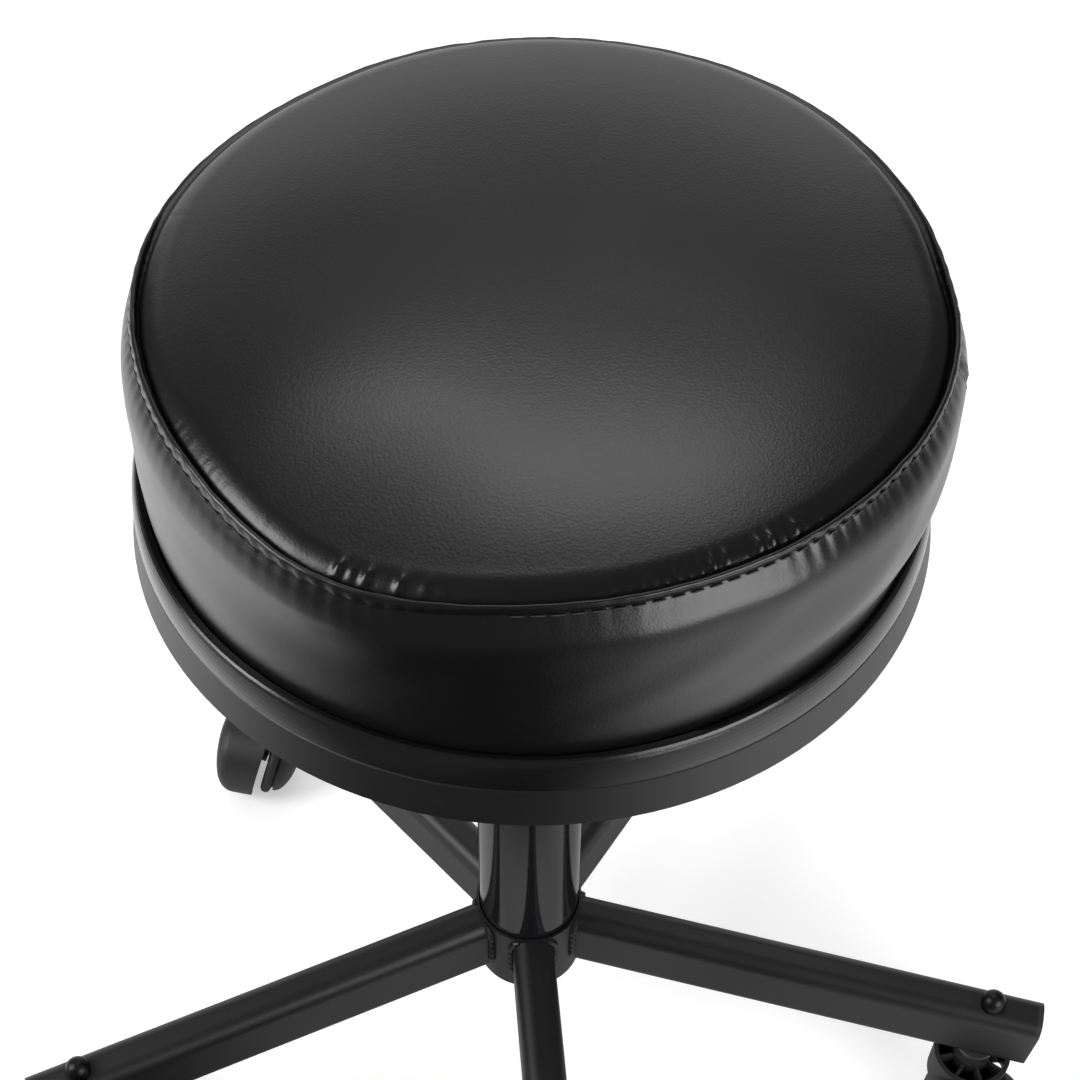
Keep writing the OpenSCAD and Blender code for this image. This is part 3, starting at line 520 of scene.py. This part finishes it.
def start_form():
    """The drawn-in form, closed below, as rings of radius and height."""
    u = np.linspace(0, 1, 25)
    z = side_height(u)
    draw = DRAWN_IN * np.sin(math.pi * u) ** 0.7
    r_side = side_r(z) - draw
    v = np.linspace(0.02, 1, 22)[::-1]
    r_top = v * SEAM_R
    z_top = top_z(r_top) - DRAWN_IN * np.cos(v * math.pi / 2) ** 0.5
    low = [(LOW_R * k, 0.018) for k in (0.1, 0.5, 0.9, 1.0)]
    r = np.concatenate([[p[0] for p in low], r_side, r_top[1:]])
    z = np.concatenate([[p[1] for p in low], z, z_top[1:]])
    az = np.arange(0, 360, 3.0)
    return np.stack([turned(np.full_like(az, a), np.full_like(az, b), az) for a, b in zip(r, z)])


def blow_up(piece, pressure=9.0, frames=24, cap=0.007):
    """Runs a closed skin as cloth and returns its still points and how far each of them moved."""
    scene = bpy.context.scene
    remesh = piece.modifiers.new("even", "REMESH")
    remesh.mode, remesh.voxel_size = "VOXEL", 0.005
    even = bpy.data.meshes.new_from_object(piece.evaluated_get(bpy.context.evaluated_depsgraph_get()))
    piece.modifiers.clear()
    piece.data = even
    still = np.array([v.co for v in even.vertices])
    height, radius = still[:, 2] - RING_Z, np.hypot(still[:, 0], still[:, 1])
    held = (height < RING_H + 0.003) | ((abs(height - SEAM_H) < 0.004) & (radius > SEAM_R - 0.004))
    pins = piece.vertex_groups.new(name="held")
    pins.add(np.flatnonzero(held).tolist(), 1.0, "REPLACE")
    stuffing = piece.vertex_groups.new(name="stuffing")
    turn = np.degrees(np.arctan2(still[:, 1], still[:, 0]))
    for number, share in enumerate(0.75 + 0.25 * ripple(turn + height * 300, 41, 2, 9, 0.7)):
        stuffing.add([number], float(np.clip(share, 0.1, 1)), "REPLACE")
    cloth = piece.modifiers.new("cloth", "CLOTH")
    cloth.settings.quality = 6
    cloth.settings.tension_stiffness = cloth.settings.compression_stiffness = 2
    cloth.settings.use_pressure = True
    cloth.settings.uniform_pressure_force = pressure
    cloth.settings.effector_weights.gravity = 0
    cloth.settings.vertex_group_mass = "held"
    cloth.settings.vertex_group_pressure = "stuffing"
    cloth.point_cache.frame_start, cloth.point_cache.frame_end = 1, frames
    for number in range(1, frames + 1):
        scene.frame_set(number)
    result = bpy.data.meshes.new_from_object(piece.evaluated_get(bpy.context.evaluated_depsgraph_get()))
    swollen = np.array([v.co for v in result.vertices])
    scene.frame_set(1)
    piece.modifiers.clear()
    bpy.data.objects.remove(piece)
    move = swollen - still
    length = np.linalg.norm(move, axis=1, keepdims=True)
    print("the skin moved by up to", round(float(length.max()) * 1000, 1), "mm; capped at", cap * 1000)
    return still, move * np.minimum(1, cap / np.maximum(length, 1e-9))


def swell_maps():
    """How far the skin swelled over the side (height, azimuth) and over the top (radius, azimuth), in metres."""
    flat = np.sin(math.pi * SIDE_U)[:, None] ** 0.7 * np.ones_like(MAP_AZ)
    crown = np.cos(TOP_U * math.pi / 2)[:, None] ** 0.5 * np.ones_like(MAP_AZ)
    still, move = blow_up(skin("start_skin", start_form(), VINYL, True, True))

    def swelling(r, z, n_out, n_up):
        a = np.radians(MAP_AZ)
        at = turned(np.full_like(a, r), np.full_like(a, z), MAP_AZ)
        way = np.stack([n_out * np.cos(a), n_out * np.sin(a), n_up * np.ones_like(a)], -1)
        near = np.exp(-((at[:, None] - still[None]) ** 2).sum(-1) / 0.006 ** 2)
        return ((near[..., None] * move[None]).sum(1) * way).sum(-1) / (near.sum(1) + 1e-9)

    z_side = side_height(SIDE_U)
    r_side = side_r(z_side) - DRAWN_IN * flat[:, 0]
    side = np.stack([swelling(r, z, *side_normal(z)) for r, z in zip(r_side, z_side)])
    z_top = top_z(TOP_U * SEAM_R) - DRAWN_IN * crown[:, 0]
    top = np.stack([swelling(r, z, 0, 1) for r, z in zip(TOP_U * SEAM_R, z_top)])
    side *= flat / flat.max()
    top *= crown / crown.max()
    print("mean swelling, side", round(float(side.mean()) * 1000, 2), "top", round(float(top.mean()) * 1000, 2), "mm")
    uneven = lambda swell: np.clip(2.0 * (swell - swell.mean(1, keepdims=True)), -0.0012, 0.0012)
    return uneven(side), uneven(top) * 0.4


SIDE_MAP, TOP_MAP = swell_maps()
TOP_MAP[0] = TOP_MAP[0].mean()


def read_map(table, u, azimuth):
    """Reads a coarse map at places u from 0 to 1 and azimuths, with cubic weights over four points each way. The
    weights of one way add up to 6."""
    rows = np.clip(np.asarray(u, float), 0, 1) * (len(table) - 1)
    columns = (np.asarray(azimuth, float) % 360) / 360 * len(MAP_AZ)
    i, k = np.floor(rows).astype(int), np.floor(columns).astype(int)
    weights = lambda t: ((1 - t) ** 3, 3 * t ** 3 - 6 * t ** 2 + 4, -3 * t ** 3 + 3 * t ** 2 + 3 * t + 1, t ** 3)
    total = 0
    for di, wi in enumerate(weights(rows - i)):
        for dk, wk in enumerate(weights(columns - k)):
            total = total + wi * wk * table[np.clip(i + di - 1, 0, len(table) - 1), (k + dk - 1) % len(MAP_AZ)]
    return total / 6 ** 2


print("unevenness at mid side from", round(float(SIDE_MAP[7].min()) * 1000, 2), "to",
      round(float(SIDE_MAP[7].max()) * 1000, 2), "mm")


# %% [markdown]
# The side band is one strip of vinyl, joined end to end by a short seam that slants a little. Just under the top seam
# its edge is pulled in by the stitches, which leaves small puckers; lower down it is smooth, with slow waves, and it
# goes down behind the ring.

# %% Side band
STITCH_PITCH, STITCH_L, THREAD_T = 0.0062, 0.0050, 0.0007
STITCH_BELOW, STITCH_DROP = 0.0052, 0.0040
JOINT_AZ, JOINT_FROM, JOINT_SLANT = -10.5 + SEEN, 0.02, 150  # the slant in degrees per metre
ALLOWANCE, HEM_TURN, HEM_T = 0.006, 0.02, 0.0016


def stitch_line(azimuth):
    """How far below the seam's line the topstitch runs: lower at the back, where the panel hangs over it."""
    return STITCH_BELOW + STITCH_DROP * smooth(np.sin(np.radians(azimuth - SEEN)), -0.2, 0.5)


def joint_line(below):
    """The azimuth of the band's slanting joint at a distance below the seam."""
    return JOINT_AZ + (below - JOINT_FROM) * JOINT_SLANT


def stitch_phase(azimuth):
    """The place within the stitches' pitch, as an angle."""
    return 2 * math.pi * np.radians(azimuth) * SEAM_R / STITCH_PITCH


def side_point(azimuth, below, inset=0.0):
    """A point of the side band at a distance below the seam's line, with its folds and puckers."""
    azimuth, below = np.broadcast_arrays(np.asarray(azimuth, float), np.asarray(below, float))
    out, up = seam_shift(azimuth)
    near = 1 - smooth(below, 0.0, 0.045)
    z = SEAM_H - below
    u = (z - RING_H) / (SEAM_H - 0.001 - RING_H)
    r = side_r(z) + read_map(SIDE_MAP, u, azimuth)
    r = r + out * near
    height = z + up * near
    depth = below - stitch_line(azimuth)
    seen = wrapped(azimuth - SEEN)
    wide = smooth(seen, -112, -92) * (1 - smooth(seen, -45, -5))
    bite = (0.0009 + 0.0017 * wide) * np.exp(-(depth / np.where(depth > 0, 0.0036 + 0.0036 * wide, 0.0024)) ** 2)
    pucker = np.cos(stitch_phase(azimuth)) * np.exp(-np.clip(depth, 0, None) / 0.004) * (depth > -0.003)
    lace = smooth(seen, -60, -50) * (1 - smooth(seen, -32, -20))
    r = r - bite + pucker * (0.00020 - 0.00016 * wide + 0.0004 * lace)
    r = r + ripple(azimuth, 3, 30, 90, 0.6) * 0.00010 * np.exp(-np.clip(depth, 0, None) / 0.012)
    wave = ripple(azimuth, 5, 3, 11, 0.8) * 0.0006 + ripple(azimuth + below * 600, 8, 12, 26, 1.0) * 0.00022
    r = r + wave * np.sin(math.pi * np.clip(u, 0, 1))
    full = smooth(np.cos(np.radians(azimuth - SEEN + 22)), 0.6, 1.0)
    r = r + 0.0022 * full * np.exp(-((z - 0.056) / 0.016) ** 2)
    gap = wrapped(azimuth - joint_line(below)) * 2.5
    seam = np.exp(-gap ** 2) * smooth(below, 0.004, 0.008)
    ply = np.exp(-((gap - 4.0) / 3.0) ** 2) * smooth(below, 0.004, 0.012)
    r = r - seam * 0.0015 + ply * 0.0003
    return turned(r - inset, height, azimuth) + lean(height)


AZ = np.arange(0, 360, 1 / 3)
HEM = SEAM_H - HEM_Z - 0.0006
FOOT = HEM - 0.0003
band_rows = np.concatenate([np.linspace(0.0035, 0.014, 24), np.linspace(0.0148, FOOT, 46)])
hem_rings = [side_point(AZ, HEM, HEM_TURN), side_point(AZ, FOOT, 0.0006)]
outer_rings = [side_point(AZ, b) for b in band_rows[::-1]]
back = [(0.0040, ALLOWANCE), (0.0052, ALLOWANCE)] + [(b, COVER_T) for b in (0.0052, 0.012, 0.03, 0.06, HEM - HEM_T)]
inner_rings = [side_point(AZ, b, inset) for b, inset in back + [(HEM - HEM_T, HEM_TURN)]]
band = skin("vinyl_side_band", hem_rings + outer_rings + inner_rings, VINYL)
print("side band:", len(band.data.polygons), "faces, volume", round(volume(band) * 1e6, 1), "cm3")


# %% [markdown]
# The top panel is a disc of the same vinyl over the crowned foam. Near the seam it turns down into the crease, and
# where the round edge was eased onto the straight band it takes up in short pleats, most of them at the left front.

# %% Top panel
# Place and size of each pleat; start, end and size of each puckered stretch; place, width and size of each soft lift.
# Places and widths are in degrees as the camera sees them.
PLEATS = [(-116.2, 1.3), (-114.4, 0.6), (-112.4, 1.1), (-108.0, 1.0), (-104.6, 0.3)]
PUCKERS = [(-84, -48, 0.60), (-44, -20, 0.10), (-152, -122, 0.07)]
LIFTS = [(-66.0, 2.4, 0.7), (-59.6, 2.0, 1.1), (-54.6, 1.0, 1.1)]
ROLL_W, ROLL_DROP, EDGE_T = 0.010, 0.0054, 0.0042
MM_PER_DEG = 17.45  # along an arc, for a radius of 1 m


def top_point(azimuth, radius, inset=0.0):
    """A point of the top panel; radius runs from 0 to the seam's 1."""
    azimuth, radius = np.broadcast_arrays(np.asarray(azimuth, float), np.asarray(radius, float))
    out, up = seam_shift(azimuth)
    near = smooth(radius, 0.45, 1.0)
    r = radius * SEAM_R + out * near
    z = top_z(radius * SEAM_R) + read_map(TOP_MAP, radius, azimuth)
    edge = (1 - radius) * SEAM_R
    roll = np.clip(1 - edge / ROLL_W, 0, 1)
    z = z - ROLL_DROP * (1 - np.sqrt(np.clip(1 - roll ** 2, 0, 1)))
    z = z + up * near
    seen = wrapped(azimuth - SEEN)
    pleat = 0
    for place, size in PLEATS:
        off = (seen - place) * (SEAM_R - edge) * MM_PER_DEG
        reach = np.exp(-((edge - 0.0040) / 0.0028) ** 2)
        pleat = pleat + size * reach * np.exp(-(off / 1.4) ** 2)
    fine = 0
    for start, end, size in PUCKERS:
        there = smooth(seen, start, start + 4) * (1 - smooth(seen, end - 4, end))
        fine = fine + size * there * ripple(azimuth, 11, 120, 240, 0.2) * np.exp(-((edge - 0.003) / 0.003) ** 2)
    fine = fine + 0.05 * ripple(azimuth, 14, 50, 160, 0.3) * np.exp(-(edge / 0.008) ** 2)
    lift = sum(size * np.exp(-((seen - place) / width) ** 2) for place, width, size in LIFTS)
    lift = lift * (1 + 0.2 * ripple(azimuth, 11, 120, 240, 0.2)) * np.exp(-((edge - 0.0034) / 0.0024) ** 2)
    z = z + (pleat * 0.0011 + fine * 0.0008 + lift * 0.001) * smooth(edge, 0.0004, 0.002)
    slow = ripple(azimuth, 21, 2, 6, 0.5) * smooth(radius, 0.1, 0.6) * (1 - smooth(radius, 0.9, 1)) * 0.0003
    z = z + slow
    return turned(r, z - inset, azimuth) + lean(z)


fine_rows = 1 - np.concatenate([np.linspace(0.0, 0.012, 22), np.linspace(0.0128, 0.026, 12)]) / SEAM_R
lower_rings = [top_point(AZ, u, EDGE_T if u > 0.97 else COVER_T) for u in (0.1, 0.5, 0.9, 0.985)]
edge_rings = [top_point(AZ, 1.0, EDGE_T), top_point(AZ, 1.0, 0.002)] + [top_point(AZ, u) for u in fine_rows]
crown_rings = [top_point(AZ, u) for u in np.linspace(0.80, 0.08, 26)]
panel = skin("vinyl_top_panel", lower_rings + edge_rings + crown_rings, VINYL, True, True)
print("top panel:", len(panel.data.polygons), "faces, volume", round(volume(panel) * 1e6, 1), "cm3")


# %% [markdown]
# Where the two panels meet, the edge of the cover is folded flat against the band, about as wide as a shoelace, and
# sewn down along its lower edge. The fold is pinched at each stitch, so its lower edge is scalloped.

# %% Folded edge
FOLD_HALF = 0.0023


def fold_rings(sides=16):
    azimuth = np.arange(0, 360, 0.25)
    a = np.radians(azimuth)
    rings = []
    middle = stitch_line(azimuth) - FOLD_HALF
    for k in range(sides):
        t = 2 * math.pi * k / sides
        across = math.copysign(abs(math.cos(t)) ** 0.75, math.cos(t))
        proud = math.copysign(abs(math.sin(t)) ** 0.8, math.sin(t))
        below_seam = middle + FOLD_HALF * across * (1 + 0.05 * ripple(azimuth, 31, 20, 60, 0.4))
        pinch = 0.08 * np.cos(stitch_phase(azimuth)) * smooth(across, 0.0, 1.0)
        thick = (0.0009 - 0.0003 * across) * (1 + pinch + 0.10 * ripple(azimuth, 33, 40, 120, 0.3))
        point = side_point(azimuth, np.maximum(below_seam, 0.0002))
        tilt = side_normal(np.clip(SEAM_H - below_seam, RING_H, SEAM_H - 0.0012))
        out = np.stack([tilt[..., 0] * np.cos(a), tilt[..., 0] * np.sin(a), tilt[..., 1]], -1)
        rings.append(point + out * (thick * proud + 0.0004)[:, None])
    return rings


fold = skin("folded_seam_edge", fold_rings(), VINYL)
print("folded edge:", len(fold.data.polygons), "faces, volume", round(volume(fold) * 1e6, 2), "cm3")


# %% [markdown]
# The foam fills the cover, so it follows the same outline a couple of millimetres further in. Only its place matters
# here, since the vinyl hides it.

# %% Foam block
FOAM_IN = 0.0022
az_foam = np.arange(0, 360, 2.0)
foam_rings = [turned(np.full_like(az_foam, BOARD_R - 0.001), np.full_like(az_foam, BOARD_TOP), az_foam)]
foam_rings += [side_point(az_foam, SEAM_H - z, FOAM_IN) for z in np.linspace(0.030, 0.094, 12)]
foam_rings += [top_point(az_foam, u, 0.0052 if u > 0.9 else 0.0026) for u in np.linspace(0.945, 0.08, 14)]
block = skin("foam_block", foam_rings, FOAM, True, True)
print("foam:", len(block.data.polygons), "faces, volume", round(volume(block) * 1e6), "cm3")


# %% [markdown]
# A topstitch is a dash of thread that comes up through one hole and goes down through the next. There are over a
# hundred round the seat, all alike, so a node tree walks along a line, puts one short bead of thread at each pitch and
# turns it along the line.

# %% Stitches along a line
def thread():
    f = Finish("black thread")
    twist = f.noise(2500, 2)
    return f.shade(base_color=f.blend(twist, (0.016, 0.016, 0.017), (0.04, 0.04, 0.042)), roughness=0.55 + twist * 0.2,
                   normal=f.bump(twist, 0.0001, 0.6))


THREAD = thread()


def stitch_tree():
    tree = bpy.data.node_groups.new("stitches", "GeometryNodeTree")
    face = tree.interface
    face.new_socket("Line", in_out="INPUT", socket_type="NodeSocketGeometry")
    for name, value in (("Pitch", STITCH_PITCH), ("Length", STITCH_L), ("Thickness", THREAD_T)):
        face.new_socket(name, in_out="INPUT", socket_type="NodeSocketFloat").default_value = value
    thread_key = face.new_socket("Thread", in_out="INPUT", socket_type="NodeSocketMaterial").identifier
    face.new_socket("Stitches", in_out="OUTPUT", socket_type="NodeSocketGeometry")
    t = Tree(tree)
    given = tree.nodes.new("NodeGroupInput")
    asked = lambda name: Socket(t, given.outputs[name])
    line = t.node("GeometryNodeMeshToCurve", {}, {"Mesh": asked("Line")})
    points = t.node("GeometryNodeResampleCurve", {"mode": "LENGTH"}, {"Curve": line, "Length": asked("Pitch")})
    tangent = t.node("GeometryNodeInputTangent")
    turn = t.node("FunctionNodeAlignRotationToVector", {"axis": "X"}, {"Vector": tangent})
    bead = t.node("GeometryNodeMeshUVSphere", {}, {"Segments": 8, "Rings": 6, "Radius": 0.5})
    size = t.node("ShaderNodeCombineXYZ", {}, {0: asked("Length"), 1: asked("Thickness"), 2: asked("Thickness")})
    placed = t.node("GeometryNodeInstanceOnPoints", {}, {"Points": points, "Instance": bead, "Rotation": turn,
                                                         "Scale": size})
    real = t.node("GeometryNodeRealizeInstances", {}, {"Geometry": placed})
    smooth_shape = t.node("GeometryNodeSetShadeSmooth", {}, {0: real})
    dressed = t.node("GeometryNodeSetMaterial", {}, {"Geometry": smooth_shape, "Material": asked("Thread")})
    tree.links.new(dressed.out, tree.nodes.new("NodeGroupOutput").inputs["Stitches"])
    return tree, thread_key


STITCHES, THREAD_KEY = stitch_tree()


def sew(name, points):
    """Runs the stitch tree along an open line of points and returns a plain mesh."""
    edges = [(i, i + 1) for i in range(len(points) - 1)]
    mesh = bpy.data.meshes.new(name)
    mesh.from_pydata([tuple(p) for p in points], edges, [])
    piece = bpy.data.objects.new(name, mesh)
    bpy.context.scene.collection.objects.link(piece)
    run = piece.modifiers.new("sew", "NODES")
    run.node_group = STITCHES
    run[THREAD_KEY] = THREAD
    bpy.context.view_layer.update()
    piece.data = bpy.data.meshes.new_from_object(piece.evaluated_get(bpy.context.evaluated_depsgraph_get()))
    piece.modifiers.clear()
    print(name, len(piece.data.polygons), "faces")
    return piece


def offset_out(azimuth, below, proud):
    point = side_point(azimuth, below)
    a = np.radians(azimuth)
    return point + proud * np.stack([np.cos(a), np.sin(a), np.zeros_like(a)], -1)


line_az = np.arange(-93, 232, 0.5) + SEEN
threads = [sew("topstitch", offset_out(line_az, stitch_line(line_az) + 0.0004, 0.0005))]
joint_rows = np.linspace(0.007, 0.070, 60)
for side, beside in (("right", -1.3), ("left", 1.3)):
    threads.append(sew("joint_stitch_" + side, offset_out(joint_line(joint_rows) + beside, joint_rows, -0.0002)))


# %% Cushion pieces onto the seat
for piece, node, fill in ((band, "seat_side_band", 0.8), (panel, "seat_top_panel", 0.8), (block, "seat_foam", 0.9)):
    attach(piece, "seat")
    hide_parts(node)
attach(fold, "seat")
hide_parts("seat_welt")
for piece in threads:
    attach(piece, "seat")
print("the cushion rides on the seat")


# %% [markdown]
# The studio is plain: a white floor, a soft lamp behind and above, and one on each side. A black stool is hard to
# light, because it shows what stands round it more than its own colour. The floor is pale paint, and where the camera
# or a glossy surface looks at it a little light is added, so that it reads as white and still takes the stool's
# shadow. What glossy surfaces see of the floor is painted as well: painted shade in a wide sector in front of the
# stool and round its hub, and a painted glow to the left and away from the hub, so the black parts mirror a dark
# front and lighter sides.

# %% Floor
def floor_paint():
    f = Finish("pale floor")
    tint = f.noise(3, 2)
    camera_ray, mirrored, through = f.outs("ShaderNodeLightPath", "Is Camera Ray", "Is Glossy Ray",
                                           "Is Transmission Ray")
    x, y = f.outs("ShaderNodeSeparateXYZ", "X", "Y", values={0: f.place})
    azimuth = f.node("ShaderNodeMath", {"operation": "ARCTAN2"}, {0: y, 1: x})
    far = (x * x + y * y) ** 0.5
    # Painted shade, in reflections only: dark ahead of the stool, a little left, and partly dark round the hub.
    aside = (azimuth - math.radians(CAMERA_AZIMUTH - 20)).size()
    painted_shade_below_hub = (1 - f.between(far, 0.22, 0.38)) * 0.3
    shade = ((1 - f.between(aside, 0.35, 1.35)) * f.between(far, 0.12, 0.26) + painted_shade_below_hub).clip() * mirrored
    # Painted glow, in reflections only: the floor is brighter to the left of the stool.
    left = f.between(0 - x, 0.15, 0.5) * mirrored
    pale = f.blend(tint, (0.82, 0.82, 0.82), (0.80, 0.80, 0.80))
    # The painted shade blackens the paint itself, in reflections only.
    paint = f.node("ShaderNodeBsdfDiffuse", {}, {"Color": f.blend(shade, pale, (0.0, 0.0, 0.0))})
    level = (camera_ray + through).clip() * 0.38 + left * 0.10
    # More painted glow in reflections, growing away from the hub, but none under the painted shade.
    level = level + mirrored * (1 - shade) * f.between(far, 0.05, 0.5) * 0.23
    glow = f.node("ShaderNodeEmission", {}, {"Color": (1, 1, 1, 1), "Strength": level})
    both = f.node("ShaderNodeAddShader", {}, {0: paint, 1: glow})
    f.node("ShaderNodeOutputMaterial", {}, {"Surface": both})
    return f.material


floor_mesh = bpy.data.meshes.new("floor")
floor_mesh.from_pydata([(-6, -6, 0), (6, -6, 0), (6, 6, 0), (-6, 6, 0)], [], [(0, 1, 2, 3)])
floor_mesh.materials.append(floor_paint())
floor = bpy.data.objects.new("floor", floor_mesh)
bpy.context.scene.collection.objects.link(floor)


# %% World and lamps
def studio_air():
    world = bpy.data.worlds.new("studio")
    bpy.context.scene.world = world
    world.use_nodes = True
    t = Tree(world.node_tree)
    t.nodes.nodes.clear()
    camera_ray, glossy, through = t.outs("ShaderNodeLightPath", "Is Camera Ray", "Is Glossy Ray",
                                         "Is Transmission Ray")
    seen = (camera_ray + through).clip()
    way = t.node("ShaderNodeTexCoord", out="Generated")
    side, back, up = t.outs("ShaderNodeSeparateXYZ", "X", "Y", "Z", values={0: way})
    wall = (1 - t.between(up, 0.42, 0.62)) * t.between(back, 0.0, 0.55) * (1 - t.between(side.size(), 0.35, 0.62))
    mirror = 0.10 + wall * 0.95
    level = 0.55 * (1 - glossy) + mirror * glossy
    level = level * (1 - seen) + seen
    air = t.node("ShaderNodeBackground", {}, {"Color": (1, 1, 1, 1), "Strength": level})
    t.node("ShaderNodeOutputWorld", {}, {"Surface": air})


def softbox(name, place, aim, size, power):
    data = bpy.data.lights.new(name, "AREA")
    data.shape, data.size, data.size_y, data.energy = "RECTANGLE", size[0], size[1], power
    lamp = bpy.data.objects.new(name, data)
    bpy.context.scene.collection.objects.link(lamp)
    lamp.location = place
    lamp.rotation_euler = (Vector(aim) - Vector(place)).to_track_quat("-Z", "Y").to_euler()


studio_air()
LAMPS = [("lamp_above", (0.14, 0.79, 1.90), (0, 0, 0.54), (0.80, 0.44), 4.5),
         ("lamp_left", (-1.5, -0.2, 1.30), (0, 0, 0.45), (0.8, 1.2), 24),
         ("lamp_right", (0.96, -1.26, 0.82), (0, 0, 0.52), (1.0, 0.8), 16)]
for lamp in LAMPS:
    softbox(*lamp)
bpy.context.scene.view_settings.view_transform = "Standard"
print("three soft lamps")
